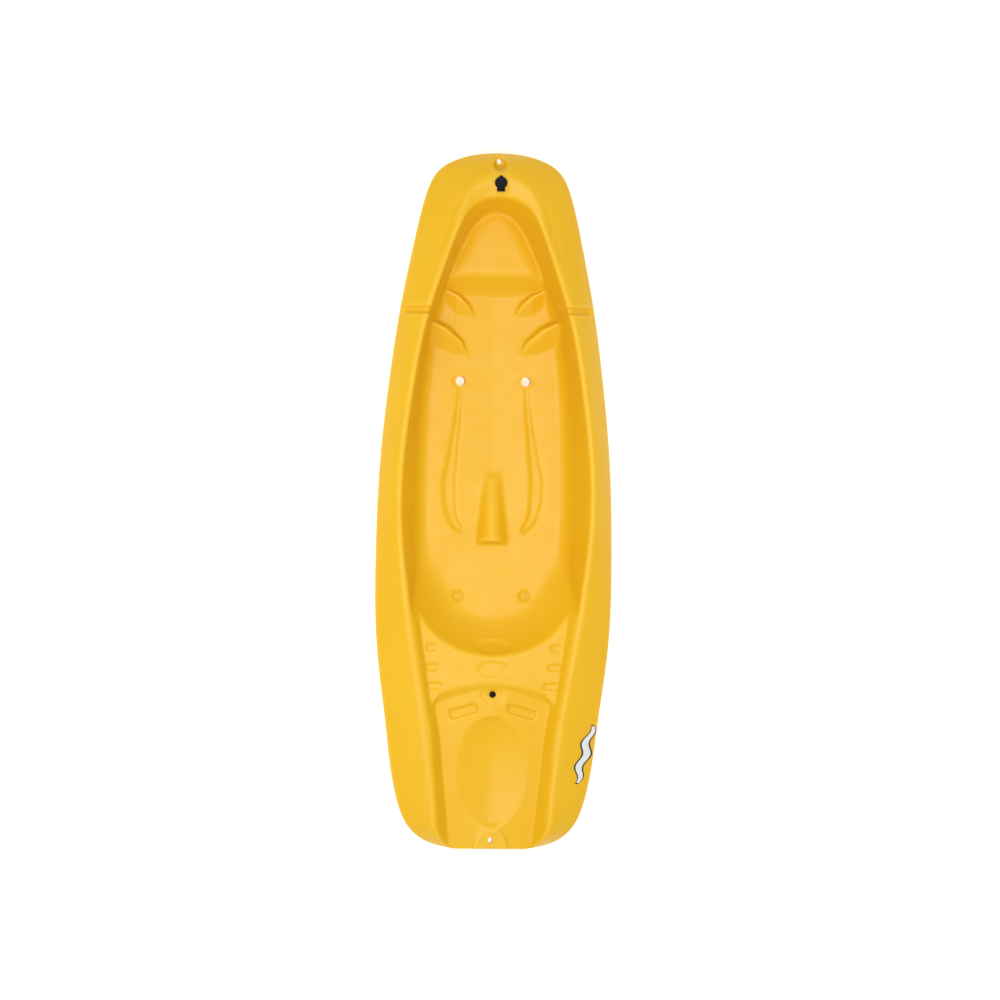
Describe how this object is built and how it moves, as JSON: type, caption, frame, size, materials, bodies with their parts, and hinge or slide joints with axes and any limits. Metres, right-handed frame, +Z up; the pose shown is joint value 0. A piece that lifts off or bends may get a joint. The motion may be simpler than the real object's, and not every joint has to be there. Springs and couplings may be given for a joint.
{
  "type": "kayak",
  "caption": "Short sit-on-top kayak for a child: moulded cockpit with foot braces and a centre ridge, open stern well, tow holes and drain cap.",
  "frame": {"origin": "centre of the boat's length and beam, on the ground plane under the keels", "axes": "+X to starboard, +Y to the bow, +Z up"},
  "size_m": [0.623, 1.83, 0.2186],
  "materials": {
    "deck_plastic": "satin yellow moulded polyethylene",
    "hull_plastic": "satin yellow moulded polyethylene, scuffed on the keels",
    "foam": "closed-cell white foam",
    "black_rubber": "soft black rubber",
    "black_plastic": "fine-grained black plastic",
    "pin_plastic": "smooth black plastic",
    "decal_vinyl": "silver-grey printed vinyl"
  },
  "bodies": {
    "boat": {"deck_shell": "deck_plastic", "hull_shell": "hull_plastic", "bow_foam_block": "foam", "stern_foam_block": "foam", "drain_gasket": "black_rubber", "drain_bushing": "black_plastic", "drain_hinge_pin": "pin_plastic", "vent_seal": "black_rubber", "vent_plug": "black_plastic", "side_decal": "decal_vinyl"},
    "cap": {"drain_cap": "black_plastic", "drain_bung": "black_rubber"}
  },
  "joints": [
    {"name": "drain_cap_hinge", "type": "hinge", "parent": "boat", "child": "cap", "pos_m": [0, 0.8155, 0.216], "axis": [1, 0, 0], "range_deg": [0, 150]}
  ]
}
